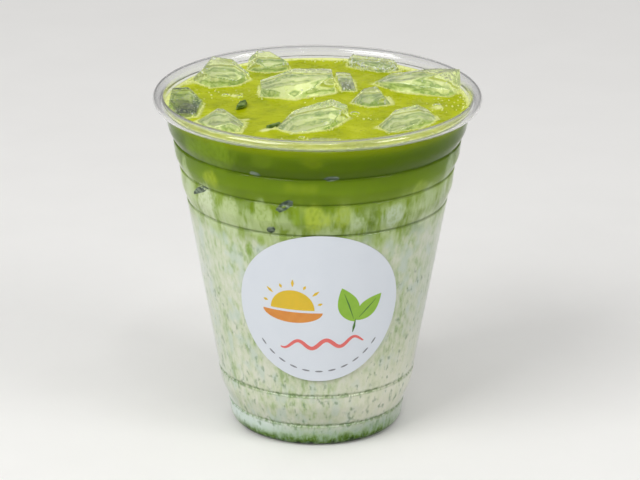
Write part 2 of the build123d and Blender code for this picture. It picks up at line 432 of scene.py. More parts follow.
# Ends of sunken ice that touch the wall: bearing, height, size along the wall and up, lean.
SUNKEN = (
    (-57.2, 80.2, 9.4, 1.9, 26),
    (-24.6, 91.2, 3.4, 1.5, -8),
    (-12.9, 81.8, 6.6, 2.8, 38),
    (5.8, 91.0, 5.2, 1.6, 3),
    (-19.6, 73.5, 3.0, 2.2, 30),
    (74.0, 84.0, 4.0, 1.7, 18),
    (112.0, 80.5, 5.5, 2.0, -15),
    (148.0, 88.0, 3.6, 1.6, 12),
    (183.0, 79.0, 5.0, 1.9, 20),
    (222.0, 86.0, 4.4, 1.8, -10),
    (262.0, 77.5, 5.0, 2.0, 16),
)
SUNKEN_SIDES = 32
SUNKEN_ROUGHNESS = (1.4, 0.3)    # how often its edge bends in and out, and how far
# Rings from the middle of the face back into the drink: share of the size, and lift from the
# middle of the plastic.
SUNKEN_RINGS = ((0.02, 0.06), (0.5, 0.06), (0.9, 0.06), (1.0, -0.05), (0.8, -0.8), (0.02, -1.4))


def make_chips(name, places):
    """Small bits of ice in one mesh."""
    return add_piece(name, joined(name, [chip(*place) for place in places]), "ice")


def sunken_ring(bearing, height, along, up, lean, share, lift):
    """One uneven ring of points round the end of a sunken piece of ice."""
    turn = math.radians(lean)
    often, far = SUNKEN_ROUGHNESS
    ring = []
    for i in range(SUNKEN_SIDES):
        angle = 2 * math.pi * i / SUNKEN_SIDES
        rough = Vector((math.cos(angle) * often, math.sin(angle) * often, bearing))
        reach = share * (1 + far * noise.noise(rough)) / 2
        across, rise = along * reach * math.cos(angle), up * reach * math.sin(angle)
        side = across * math.cos(turn) - rise * math.sin(turn)
        level = height + across * math.sin(turn) + rise * math.cos(turn)
        radius = drink_radius(level)
        ring.append(tuple(around(bearing + math.degrees(side / radius), radius + lift, level)))
    return ring


def make_sunken_ice():
    """Ends of ice under the surface, pressed flat against the plastic."""
    vertices, faces = [], []
    for place in SUNKEN:
        first = len(vertices)
        for share, lift in SUNKEN_RINGS:
            start = len(vertices)
            vertices += sunken_ring(*place, share, lift)
            if start > first:
                faces += ring_of_faces(start - SUNKEN_SIDES, start, SUNKEN_SIDES)
        faces.append(tuple(range(first, first + SUNKEN_SIDES)))
        faces.append(tuple(reversed(range(start, start + SUNKEN_SIDES))))
    return add_piece("ice_sunken", make_mesh("ice_sunken", vertices, faces), "ice")


# ---------------------------------------------------------------- drink


def border_height(angle):
    """Height of the uneven border between milk and matcha at the wall."""
    waves = sum(tall * math.sin(count * angle + shift) for tall, count, shift in BORDER_WAVES)
    return MILK_LEVEL + BORDER_SWING * math.cos(2 * angle) + waves


def wall_levels(low, high):
    """Heights of the rings up the wall: those of the outline's points and even steps between."""
    marks = [low] + [height for height in WALL_HEIGHTS if low < height < high] + [high]
    levels = [low]
    for below, above in zip(marks, marks[1:]):
        steps = max(1, math.ceil((above - below) / WALL_ROW))
        levels += [below + (above - below) * (k + 1) / steps for k in range(steps)]
    return levels


def wall_ring(height_at):
    """A ring of points on the drink's wall, its height given for each angle."""
    ring = []
    for i in range(DRINK_SIDES):
        angle = 2 * math.pi * i / DRINK_SIDES
        height = height_at(angle)
        radius = drink_radius(height)
        ring.append((radius * math.cos(angle), radius * math.sin(angle), height))
    return ring


def border_rings(ring):
    """Rings from the border at the wall inwards, which level out at the milk's height."""
    rings = []
    for k in range(1, BORDER_RINGS):
        share = 1 - k / BORDER_RINGS
        rings.append(
            [(x * share, y * share, MILK_LEVEL + (z - MILK_LEVEL) * share) for x, y, z in ring]
        )
    return rings


def closed_mesh(name, rings, bottom, top):
    """A closed mesh from rings of points and a point at each end, without doubled points."""
    vertices = [point for ring in rings for point in ring]
    faces = []
    for start in range(0, len(vertices) - DRINK_SIDES, DRINK_SIDES):
        for i in range(DRINK_SIDES):
            j = (i + 1) % DRINK_SIDES
            above = start + DRINK_SIDES
            faces.append((start + i, start + j, above + j, above + i))
    last = len(vertices) - DRINK_SIDES
    for i in range(DRINK_SIDES):
        j = (i + 1) % DRINK_SIDES
        faces.append((j, i, len(vertices)))
        faces.append((last + i, last + j, len(vertices) + 1))
    mesh = make_mesh(name, vertices + [(0, 0, bottom), (0, 0, top)], faces)
    form = bmesh.new()
    form.from_mesh(mesh)
    bmesh.ops.remove_doubles(form, verts=form.verts, dist=DOUBLED * MM)
    form.to_mesh(mesh)
    form.free()
    mesh.set_sharp_from_angle(angle=SHARP)
    return mesh


def waterline(pieces):
    """Points of the ice at the drink's surface, for finding how far off the ice is."""
    line = []
    for piece in pieces:
        points = points_of(piece.data)
        line.extend(points[np.abs(points[:, 2] - FILL_LEVEL) < ICE_VOXEL])
    tree = KDTree(len(line))
    for i, (x, y, z) in enumerate(line):
        tree.insert((x, y, 0), i)
    tree.balance()
    return tree


def surface_height(x, y, shore):
    """Height of the drink's surface, which climbs the wall and the ice."""
    from_wall = max(0.0, drink_radius(FILL_LEVEL) - math.hypot(x, y))
    from_ice = shore.find((x, y, 0))[2]
    swell = SWELL * noise.noise(Vector((x, y, 0)) / SWELL_LENGTH)
    rise = WALL_RISE * math.exp(-from_wall / WALL_REACH) + ICE_RISE * math.exp(-from_ice / ICE_REACH)
    return FILL_LEVEL + swell + rise


def make_milk():
    """The lower layer: every ring of the wall, held under the border."""
    base = DRINK_OUTLINE[1:LOWEST]
    rings = []
    for radius, height in base:
        ring = [around(360 * i / DRINK_SIDES + 90, radius, height) for i in range(DRINK_SIDES)]
        rings.append([tuple(point) for point in ring])
    for level in wall_levels(WALL_HEIGHTS[0], MILK_LEVEL + BORDER_REACH):
        rings.append(wall_ring(lambda angle: min(level, border_height(angle))))
    rings += border_rings(rings[-1])
    return closed_mesh("milk", rings, base[0].y, MILK_LEVEL)


def make_matcha(shore):
    """The upper layer, with its surface raised where it meets the wall and the ice."""
    radius = drink_radius(FILL_LEVEL)

    def rim_height(angle):
        return surface_height(radius * math.cos(angle), radius * math.sin(angle), shore)

    wall = []
    for level in wall_levels(MILK_LEVEL - BORDER_REACH, FILL_LEVEL):
        wall.append(wall_ring(lambda angle: max(level, border_height(angle))))
    wall.append(wall_ring(rim_height))
    steps = [SHORE_ROW * (k + 1) for k in range(SHORE_RINGS)]
    while steps[-1] < radius - SURFACE_ROW:
        steps.append(steps[-1] + SURFACE_ROW)
    surface = []
    for step in steps:
        share = 1 - step / radius
        flat = [(x * share, y * share) for x, y, z in wall[-1]]
        surface.append([(x, y, surface_height(x, y, shore)) for x, y in flat])
    under = border_rings(wall[0])[::-1]
    top = surface_height(0, 0, shore)
    return closed_mesh("matcha", under + wall + surface, MILK_LEVEL, top)


def split_faces(mesh):
    """Gives the second material to all faces that don't lie against the plastic."""
    for face in mesh.polygons:
        x, y, z = face.center / MM
        face.material_index = int(math.hypot(x, y) < drink_radius(z) - AGAINST_PLASTIC)


def cut_round(mesh, pieces):
    """The drink with a hollow for each piece of ice, a little smaller than the ice."""
    cutters = []
    for piece in pieces:
        cutter = piece.data.copy()
        normals = np.array([vertex.normal for vertex in cutter.vertices])
        set_points(cutter, points_of(cutter) - normals * ICE_SINK)
        cutters.append(cutter)
    holder = in_scene("cutters", joined("cutters", cutters))
    settings = {"operation": "DIFFERENCE", "solver": "MANIFOLD", "object": holder}
    result = evaluated(mesh, ("BOOLEAN", settings))
    bpy.data.objects.remove(holder)
    result.shade_smooth()
    result.set_sharp_from_angle(angle=SHARP)
    return result


# ---------------------------------------------------------------- bubbles


def ball_points(rings=5, sides=10):
    """A small ball for bubbles: its points and faces."""
    points, faces = [(0, 0, -1)], []
    for k in range(1, rings):
        tilt = math.pi * k / rings
        for i in range(sides):
            turn = 2 * math.pi * i / sides
            flat = math.sin(tilt)
            points.append((flat * math.cos(turn), flat * math.sin(turn), -math.cos(tilt)))
    points.append((0, 0, 1))
    last = len(points) - 1
    for i in range(sides):
        j = (i + 1) % sides
        faces.append((0, 1 + j, 1 + i))
        faces.append((last, last - sides + i, last - sides + j))
        for k in range(rings - 2):
            low = 1 + k * sides
            faces.append((low + i, low + j, low + sides + j, low + sides + i))
    return points, faces


def make_balls(name, places):
    """Many small balls in one mesh, each given by its centre and radius."""
    points, faces = ball_points()
    all_points, all_faces = [], []
    for (x, y, z), radius in places:
        start = len(all_points)
        all_points += [(x + px * radius, y + py * radius, z + pz * radius) for px, py, pz in points]
        all_faces += [tuple(start + corner for corner in face) for face in faces]
    return make_mesh(name, all_points, all_faces, sharp=math.pi)


# Large single bubbles on the drink: centre and radius.
BUBBLES = (
    (-27.5, 8.5, 1.2),
    (-23.3, 7.0, 0.9),
    (35.5, -1.0, 1.3),
    (11.0, -8.5, 1.4),
    (-4.5, -31.5, 0.9),
    (20.0, -31.0, 1.0),
)
BUBBLE_SKIN = 0.07
BUBBLE_HEIGHT = 0.45       # of its radius
BUBBLE_DIP = 0.1           # its edge lies this far under the surface
BUBBLE_SIDES = 28
BUBBLE_STEP = 10           # degrees of a row of faces
# Patches of froth on the open drink: centre, spread and number of bubbles.
FROTH_PATCHES = (
    (-30.0, 10.0, 3.5, 12),
    (-23.0, 6.5, 2.6, 10),
    (-8.0, 8.0, 4.0, 6),
    (36.0, 2.0, 4.5, 22),
    (40.0, -6.0, 3.0, 12),
    (16.0, -14.0, 2.5, 10),
    (-6.0, -33.0, 3.0, 14),
)
FROTH_SIZE = (0.13, 0.38)
FROTH_LIFT = 0.2           # share of its radius by which a bubble's middle stands over the drink
WALL_FROTH = 420           # number of fine bubbles along the wall
WALL_FROTH_SPREAD = 0.9
WALL_FROTH_GAP = 0.25
ICE_FROTH = 0.5            # share of the ice's points at the drink that have a bubble
ICE_FROTH_HEIGHT = 0.2     # how far above the drink's level those points are
ICE_FROTH_REACH = (0.1, 0.9)
ICE_FROTH_FINER = 0.8      # its bubbles by the size of the others, and those round large bubbles
RING_FROTH_FINER = 0.7
# Number of air bubbles and white crystals in the cloudier pieces of ice.
TRAPPED_AIR = {
    "ice_back_right_clear": 190,
    "ice_far_left_clear": 130,
    "ice_front_clear": 30,
    "ice_back_small_clear": 40,
    "ice_mid_right_clear": 22,
}
LITTLE_AIR = 9             # and in each of the other pieces
AIR_SIZE = (0.08, 0.26)
AIR_DEPTH = (0.15, 1.8)


def make_froth(shore, pieces):
    """Fine bubbles along the ice and the wall and in loose patches between."""
    inside = drink_radius(FILL_LEVEL) - WALL / 2
    places = []

    def place(x, y, radius):
        if math.hypot(x, y) + radius < inside:
            places.append(((x, y, surface_height(x, y, shore) + radius * FROTH_LIFT), radius))

    for piece in pieces:
        points = points_of(piece.data)
        line = points[np.abs(points[:, 2] - FILL_LEVEL - ICE_FROTH_HEIGHT) < ICE_VOXEL / 2]
        middle = points.mean(axis=0)
        for x, y, z in line:
            if RNG.random() < ICE_FROTH:
                away = Vector((x - middle[0], y - middle[1])).normalized()
                away *= RNG.uniform(*ICE_FROTH_REACH)
                place(x + away.x, y + away.y, RNG.uniform(*FROTH_SIZE) * ICE_FROTH_FINER)
    for _ in range(WALL_FROTH):
        bearing = RNG.uniform(0, 360)
        away = abs(RNG.gauss(0, WALL_FROTH_SPREAD)) + WALL_FROTH_GAP
        spot = around(bearing, inside - away, 0)
        place(spot.x, spot.y, RNG.uniform(*FROTH_SIZE))
    for x, y, radius in BUBBLES:
        count = 2 * math.pi * radius / FROTH_SIZE[1]
        for k in range(round(count)):
            spot = around(k * 360 / count, radius, 0)
            place(x + spot.x, y + spot.y, RNG.uniform(*FROTH_SIZE) * RING_FROTH_FINER)
    for x, y, spread, count in FROTH_PATCHES:
        for _ in range(count):
            place(x + RNG.gauss(0, spread), y + RNG.gauss(0, spread), RNG.uniform(*FROTH_SIZE))
    return add_piece("froth", make_balls("froth", places), "matcha")


def make_bubbles(shore):
    """Half domes of thin liquid skin that float on the drink."""
    vertices, faces = [], []
    up = range(0, 91, BUBBLE_STEP)
    for x, y, radius in BUBBLES:
        base = surface_height(x, y, shore) - BUBBLE_DIP
        path = []
        for skin, tilts in ((radius, up), (radius - BUBBLE_SKIN, reversed(up))):
            for tilt in tilts:
                angle = math.radians(tilt)
                path.append((skin * math.sin(angle), skin * BUBBLE_HEIGHT * math.cos(angle)))
        points, rings = lathe(path, BUBBLE_SIDES)
        start = len(vertices)
        vertices += [(x + px, y + py, base + pz) for px, py, pz in points]
        faces += [tuple(start + corner for corner in ring) for ring in rings]
    return add_piece("bubbles", make_mesh("bubbles", vertices, faces), "clear_plastic")


def make_trapped_air(pieces):
    """Small balls of air and white crystals inside the ice that stands out of the drink."""
    places = []
    for piece in pieces:
        points = points_of(piece.data)
        normals = np.array([vertex.normal for vertex in piece.data.vertices])
        raised = np.flatnonzero(points[:, 2] > FILL_LEVEL - 1)
        for _ in range(TRAPPED_AIR.get(piece.name, LITTLE_AIR)):
            pick = RNG.choice(raised)
            radius = RNG.uniform(*AIR_SIZE)
            inside = points[pick] - normals[pick] * (radius + RNG.uniform(*AIR_DEPTH))
            places.append((tuple(inside), radius))
    return add_piece("ice_air", make_balls("ice_air", places), "ice")


# ---------------------------------------------------------------- label

LABEL_DIAMETER = 49.5
LABEL_THICKNESS = 0.15
LABEL_GLUE = 0.1
LABEL_BEARING = 1.33       # degrees by which it is stuck off the front
LABEL_RINGS = 24
LABEL_SIDES = 120
LABEL_HEIGHT = (LABEL_LOW + LABEL_HIGH) / 2
# The label lies on the cone that starts at the last corner of the lowest stacking ring.
CONE_TOP_RADIUS, CONE_TOP_HEIGHT = flank_corners()[4 * len(RING_DEPTHS) - 1][:2]


def wrapped(u, v, lift):
    """A point of a flat sheet, right and up from the label's centre, wrapped on the cup."""
    centre_radius = CONE_TOP_RADIUS - (CONE_TOP_HEIGHT - LABEL_HEIGHT) * TAPER + lift
    apex = centre_radius / math.sin(TAPER_ANGLE)
    slant = math.hypot(u, apex + v)
    turn = math.atan2(u, apex + v) / math.sin(TAPER_ANGLE) + math.radians(LABEL_BEARING)
    radius = slant * math.sin(TAPER_ANGLE)
    height = LABEL_HEIGHT + (slant - apex) * math.cos(TAPER_ANGLE)
    return (radius * math.sin(turn), -radius * math.cos(turn), height)


def wrapped_sheet(vertices, faces, low, high):
    """Points and faces of a closed thin sheet from flat faces, between two lifts."""
    count = len(vertices)
    points = [wrapped(u, v, high) for u, v in vertices] + [wrapped(u, v, low) for u, v in vertices]
    edges = {}
    for face in faces:
        for a, b in zip(face, face[1:] + face[:1]):
            edges[(a, b)] = True
    sides = [(b, a, a + count, b + count) for a, b in edges if (b, a) not in edges]
    backs = [tuple(corner + count for corner in reversed(face)) for face in faces]
    return points, [tuple(face) for face in faces] + backs + sides


def make_label():
    """A round of paper stuck to the wall."""
    vertices = [(0.0, 0.0)]
    for k in range(1, LABEL_RINGS + 1):
        radius = LABEL_DIAMETER / 2 * k / LABEL_RINGS
        for i in range(LABEL_SIDES):
            angle = 2 * math.pi * i / LABEL_SIDES
            vertices.append((radius * math.cos(angle), radius * math.sin(angle)))
    faces = [(0, 1 + i, 1 + (i + 1) % LABEL_SIDES) for i in range(LABEL_SIDES)]
    for k in range(1, LABEL_RINGS):
        outer = 1 + k * LABEL_SIDES
        faces += ring_of_faces(outer - LABEL_SIDES, outer, LABEL_SIDES)
    points, solid = wrapped_sheet(vertices, faces, LABEL_GLUE, LABEL_GLUE + LABEL_THICKNESS)
    mesh = make_mesh("paper_label", points, solid)
    return add_piece("paper_label", mesh, "label_paper", "label")


# ---------------------------------------------------------------- print on the label

INK_LIFT = LABEL_GLUE + LABEL_THICKNESS
INK_THICKNESS = 0.02
INK_STRIP = 0.8            # the print is cut into strips this wide, to follow the curve
SUN_CENTRE = (-8.0, -0.5)
SUN_RADIUS = 6.6
RAYS = 7
RAY_FIRST = 15             # degrees of the first ray, and from one ray to the next
RAY_STEP = 25
RAY_GAP = 1.2
RAY_REACHES = (2.6, 3.6)   # how far the even and the odd rays reach from the sun
FIELD_SIZE = (9.0, 3.6)    # half of the field's width, and its depth
FIELD_GAP = 0.8
DASHES = 11
DASH_RADIUS = 21.4
DASH_FIRST = 215.0         # degrees of the first dash, from one to the next, and of each
DASH_STEP = 10.4
DASH_LENGTH = 6.2


def disc(u, v, radius, start=0, end=360, pieces=48):
    """Outline of a round, or of the part of a round between two angles."""
    count = pieces if end - start < 360 else pieces - 1
    angles = [math.radians(start + (end - start) * i / pieces) for i in range(count + 1)]
    return [(u + radius * math.cos(a), v + radius * math.sin(a)) for a in angles]


def leaf(u, v, length, width, turn):
    """Outline of a pointed leaf with its stalk end at a point."""
    outline_points = []
    for side in (1, -1):
        for i in range(16):
            share = i / 16 if side > 0 else 1 - i / 16
            across = side * width / 2 * math.sin(math.pi * share ** 0.85) ** 0.9
            outline_points.append((length * share, across))
    cosine, sine = math.cos(math.radians(turn)), math.sin(math.radians(turn))
    return [(u + x * cosine - y * sine, v + x * sine + y * cosine) for x, y in outline_points]


def stroke(points, width):
    """Outline of a line of the given width, tapered to its ends."""
    left, right = [], []
    for i, (u, v) in enumerate(points):
        before, after = points[max(i - 1, 0)], points[min(i + 1, len(points) - 1)]
        way = Vector((after[0] - before[0], after[1] - before[1])).normalized()
        share = i / (len(points) - 1)
        half = width / 2 * (0.25 + 0.75 * math.sin(math.pi * share) ** 0.5)
        left.append((u - way.y * half, v + way.x * half))
        right.append((u + way.y * half, v - way.x * half))
    return left + right[::-1]


def sun_rays():
    """Short strokes round the upper half of the sun, long and short by turns."""
    sun_u, sun_v = SUN_CENTRE
    rays = []
    for ray in range(RAYS):
        angle = math.radians(RAY_FIRST + RAY_STEP * ray)
        near, far = SUN_RADIUS + RAY_GAP, SUN_RADIUS + RAY_REACHES[ray % 2]
        ends = [
            (sun_u + reach * math.cos(angle), sun_v + reach * math.sin(angle))
            for reach in (near, (near + far) / 2, far)
        ]
        rays.append(stroke(ends, 0.9))
    return rays


def dashes_round_edge():
    """Strokes along the lower part of the label's edge."""
    dashes = []
    for k in range(DASHES):
        start = DASH_FIRST + DASH_STEP * k
        arc = [math.radians(start + DASH_LENGTH * i / 6) for i in range(7)]
        points = [(DASH_RADIUS * math.cos(a), DASH_RADIUS * math.sin(a)) for a in arc]
        dashes.append(stroke(points, 0.55))
    return dashes


def print_shapes():
    """Outlines of the print by ink: a half sun over a field, tea leaves, a wave and dashes."""
    sun_u, sun_v = SUN_CENTRE
    wide, deep = FIELD_SIZE
    half_turn = np.linspace(0, math.pi, 30)
    field = [(sun_u + wide * math.cos(a), sun_v - FIELD_GAP - deep * math.sin(a)) for a in half_turn]
    leaves = [leaf(10.5, -5.0, 12.5, 6.4, 108), leaf(11.0, -4.6, 11.0, 5.6, 42)]
    stalk = [stroke([(10.0, -8.6), (10.4, -6.8), (10.9, -4.2)], 0.8)]
    veins = [
        stroke([(10.3, -4.0), (8.9, 0.6), (7.4, 4.8)], 0.45),
        stroke([(11.9, -3.8), (14.6, -1.2), (17.4, 1.4)], 0.45),
    ]
    wave = [(u, -12.0 + 1.3 * math.sin(u * 0.75) + 0.05 * u) for u in np.linspace(-11.5, 13.5, 70)]
    return {
        "gold_ink": [disc(sun_u, sun_v, SUN_RADIUS, 0, 180)] + sun_rays(),
        "orange_ink": [field],
        "green_ink": leaves,
        "dark_green_ink": stalk + veins,
        "coral_ink": [stroke(wave, 1.3)],
        "grey_ink": dashes_round_edge(),
    }


def flat_strips(shape):
    """Points and faces of what an outline encloses, cut into strips."""
    flat = bmesh.new()
    flat.faces.new([flat.verts.new((u, v, 0)) for u, v in shape])
    left = min(u for u, v in shape)
    right = max(u for u, v in shape)
    for cut in range(1, int((right - left) / INK_STRIP) + 1):
        bmesh.ops.bisect_plane(
            flat,
            geom=flat.verts[:] + flat.edges[:] + flat.faces[:],
            plane_co=(left + cut * INK_STRIP, 0, 0),
            plane_no=(1, 0, 0),
        )
    bmesh.ops.triangulate(flat, faces=flat.faces)
    bmesh.ops.recalc_face_normals(flat, faces=flat.faces)
    flat.verts.index_update()
    faces = []
    for face in flat.faces:
        corners = [vertex.index for vertex in face.verts]
        faces.append(corners if face.normal.z > 0 else corners[::-1])
    vertices = [tuple(vertex.co[:2]) for vertex in flat.verts]
    flat.free()
    return vertices, faces


def make_print():
    """The printed shapes as thin layers of ink, one material for each ink."""
    form = bmesh.new()
    shapes = print_shapes()
    for number, (ink, outlines) in enumerate(shapes.items()):
        lift = INK_LIFT + (INK_THICKNESS / 2 if ink == "dark_green_ink" else 0)
        for shape in outlines:
            low, high = lift - INK_THICKNESS, lift + INK_THICKNESS
            points, solid = wrapped_sheet(*flat_strips(shape), low, high)
            made = [form.verts.new(Vector(point) * MM) for point in points]
            for face in solid:
                form.faces.new([made[corner] for corner in face]).material_index = number
    piece = add_piece("label_print", as_mesh("label_print", form), "label_paper")
    return piece, list(shapes)


# ---------------------------------------------------------------- materials


class Nodes:
    """A material and short calls for making and linking its nodes."""

    def __init__(self, name):
        self.material = bpy.data.materials.new(name)
        self.material.use_nodes = True
        self.tree = self.material.node_tree
        self.tree.nodes.clear()
        self.output = self.tree.nodes.new("ShaderNodeOutputMaterial")
        self.place = self.tree.nodes.new("ShaderNodeTexCoord").outputs["Object"]

    def link(self, value, socket):
        """Puts a number, a colour or another node's output on an input."""
        if isinstance(value, bpy.types.NodeSocket):
            self.tree.links.new(value, socket)
        else:
            socket.default_value = value

    def make(self, kind, *values, output=0, **settings):
        """The output of a new node, with values on its first inputs."""
        node = self.tree.nodes.new("ShaderNode" + kind)
        for name, setting in settings.items():
            setattr(node, name, setting)
        for value, socket in zip(values, node.inputs):
            self.link(value, socket)
        return node.outputs[output]

    def math(self, operation, *values):
        """A number worked out from others."""
        return self.make("Math", *values, operation=operation)

    def times(self, first, second):
        """One value times another."""
        return self.math("MULTIPLY", first, second)

    def scaled(self, value, factor, added):
        """A value times a factor, and something added."""
        return self.math("MULTIPLY_ADD", value, factor, added)

    def vector(self, operation, *values):
        """A vector worked out from others, or its length."""
        output = "Value" if operation == "LENGTH" else "Vector"
        return self.make("VectorMath", *values, output=output, operation=operation)

    def split(self, vector):
        """The three parts of a vector."""
        node = self.tree.nodes.new("ShaderNodeSeparateXYZ")
        self.link(vector, node.inputs[0])
        return node.outputs

    def join(self, x, y, z):
        """A vector made of its three parts."""
        return self.make("CombineXYZ", x, y, z)

    def remap(self, value, low, high, to_low=0.0, to_high=1.0):
        """Smoothly from one range to another, held at its ends."""
        numbers = (value, low, high, to_low, to_high)
        return self.make("MapRange", *numbers, interpolation_type="SMOOTHSTEP")

    def noise(self, vector, size, detail=2.0):
        """Noise from 0 to 1 whose lumps are about size millimetres across."""
        node = self.tree.nodes.new("ShaderNodeTexNoise")
        self.link(vector, node.inputs["Vector"])
        node.inputs["Scale"].default_value = 1 / (size * MM)
        node.inputs["Detail"].default_value = detail
        return node.outputs[0]

    def blend(self, share, first, second):
        """A colour between two."""
        node = self.tree.nodes.new("ShaderNodeMix")
        node.data_type = "RGBA"
        self.link(share, node.inputs[0])
        self.link(first, node.inputs[6])
        self.link(second, node.inputs[7])
        return node.outputs[2]

    def ramp(self, value, stops):
        """Colours along a value from 0 to 1."""
        node = self.tree.nodes.new("ShaderNodeValToRGB")
        while len(node.color_ramp.elements) < len(stops):
            node.color_ramp.elements.new(0.5)
        for element, (position, colour) in zip(node.color_ramp.elements, stops):
            element.position = position
            element.color = srgb(*colour)
        self.link(value, node.inputs[0])
        return node.outputs[0]

    def level(self):
        """Height in millimetres."""
        return self.times(self.split(self.place)[2], 1 / MM)

    def bump(self, height, strength, distance):
        """Small ups and downs of the surface, by a distance in millimetres."""
        node = self.tree.nodes.new("ShaderNodeBump")
        node.inputs["Strength"].default_value = strength
        node.inputs["Distance"].default_value = distance * MM
        self.link(height, node.inputs["Height"])
        return node.outputs[0]

    def surface(self, **inputs):
        """A Principled shader with the given inputs, as the material's surface."""
        shader = self.tree.nodes.new("ShaderNodeBsdfPrincipled")
        for name, value in inputs.items():
            self.link(value, shader.inputs[name.replace("_", " ")])
        self.tree.links.new(shader.outputs[0], self.output.inputs["Surface"])
        return shader

    def let_lamps_through(self, shader, tint):
        """Lets lamps shine through a clear surface, as thin plastic and ice do."""
        path = self.tree.nodes.new("ShaderNodeLightPath")
        clear = self.tree.nodes.new("ShaderNodeBsdfTransparent")
        clear.inputs["Color"].default_value = tint
        mix = self.tree.nodes.new("ShaderNodeMixShader")
        self.tree.links.new(path.outputs["Is Shadow Ray"], mix.inputs[0])
        self.tree.links.new(shader.outputs[0], mix.inputs[1])
        self.tree.links.new(clear.outputs[0], mix.inputs[2])
        self.tree.links.new(mix.outputs[0], self.output.inputs["Surface"])


def plastic_material():
    """Clear pressed sheet with faint clouding from handling, less clear at the lip."""
    nodes = Nodes("clear_plastic")
    haze = nodes.remap(nodes.noise(nodes.place, 7), 0.35, 0.75, 0.015, 0.06)
    lip = nodes.remap(nodes.level(), CUP_HEIGHT - 2.6 * LIP_ROLL, CUP_HEIGHT - 1.6 * LIP_ROLL)
    shader = nodes.surface(
        Base_Color=(1, 1, 1, 1),
        Transmission_Weight=1.0,
        IOR=1.2,
        Roughness=nodes.scaled(lip, 0.06, haze),
        Coat_Weight=lip,
        Coat_Roughness=0.06,
    )
    nodes.let_lamps_through(shader, (0.97, 0.97, 0.97, 1))
    return nodes.material


def bubble_material():
    """Thin greenish skin of a bubble."""
    nodes = Nodes("bubble_skin")
    shader = nodes.surface(
        Base_Color=(0.93, 0.97, 0.80, 1),
        Transmission_Weight=1.0,
        IOR=1.08,
        Roughness=nodes.remap(nodes.noise(nodes.place, 1.5), 0.3, 0.7, 0.02, 0.08),
    )
    nodes.let_lamps_through(shader, (0.95, 0.97, 0.9, 1))
    return nodes.material


def ice_material(name, tint, clear, frost):
    """Melting ice: clear in the middle of a piece, clouded in patches, wet and smooth."""
    nodes = Nodes(name)
    patches = nodes.noise(nodes.place, 4.0, 3)
    fine = nodes.noise(nodes.place, 0.8)
    cloud = nodes.remap(nodes.math("ADD", patches, nodes.times(fine, 0.25)), 0.45, 0.85)
    shader = nodes.surface(
        Base_Color=nodes.blend(cloud, srgb(*tint), (0.92, 0.95, 0.90, 1)),
        Transmission_Weight=clear,
        IOR=1.31,
        Roughness=nodes.scaled(cloud, frost, 0.03),
        Normal=nodes.bump(patches, 0.10, 0.3),
        Coat_Weight=0.7,
        Coat_Roughness=0.04,
    )
    nodes.let_lamps_through(shader, (0.99, 0.99, 0.98, 1))
    return nodes.material


def painted_shade_material(name, shades):
    """Opaque ice painted dark: painted shade of the unlit drink seen through ice under the surface
    and between pieces.
    """
    nodes = Nodes(name)
    grain = nodes.noise(nodes.vector("MULTIPLY", nodes.place, (1.0, 1.0, 3.0)), 2.5, 3)
    nodes.surface(
        Base_Color=nodes.ramp(grain, tuple(zip((0.36, 0.52, 0.68), shades))),
        Roughness=nodes.remap(grain, 0.3, 0.7, 0.2, 0.4),
        Specular_IOR_Level=0.3,
    )
    return nodes.material


def air_material():
    """White crystals and air in the ice."""
    nodes = Nodes("ice_air")
    whiter = nodes.noise(nodes.place, 2)
    nodes.surface(
        Base_Color=nodes.blend(whiter, srgb(226, 233, 208), srgb(246, 249, 240)),
        Roughness=0.25,
        Transmission_Weight=0.3,
        IOR=1.2,
    )
    return nodes.material


# Colours of the drink up its wall, by height.
WALL_COLOURS = (
    (0.0, (30, 46, 14)),
    (0.9, (64, 92, 26)),
    (2.2, (92, 122, 50)),
    (3.6, (136, 160, 120)),
    (5.0, (152, 170, 152)),
    (6.8, (144, 162, 146)),
    (9.5, (184, 189, 166)),
    (18.0, (194, 200, 172)),
    (36.0, (192, 200, 176)),
    (52.0, (194, 203, 178)),
    (62.0, (186, 198, 160)),
    (68.0, (172, 188, 132)),
    (73.0, (146, 168, 84)),
    (77.5, (122, 146, 44)),
    (82.0, (112, 138, 26)),
    (89.0, (97, 123, 16)),
    (91.0, (80, 104, 3)),
    (96.0, (78, 102, 2)),
    (97.6, (92, 116, 3)),
    (98.4, (114, 134, 3)),
    (99.6, (124, 141, 4)),
)
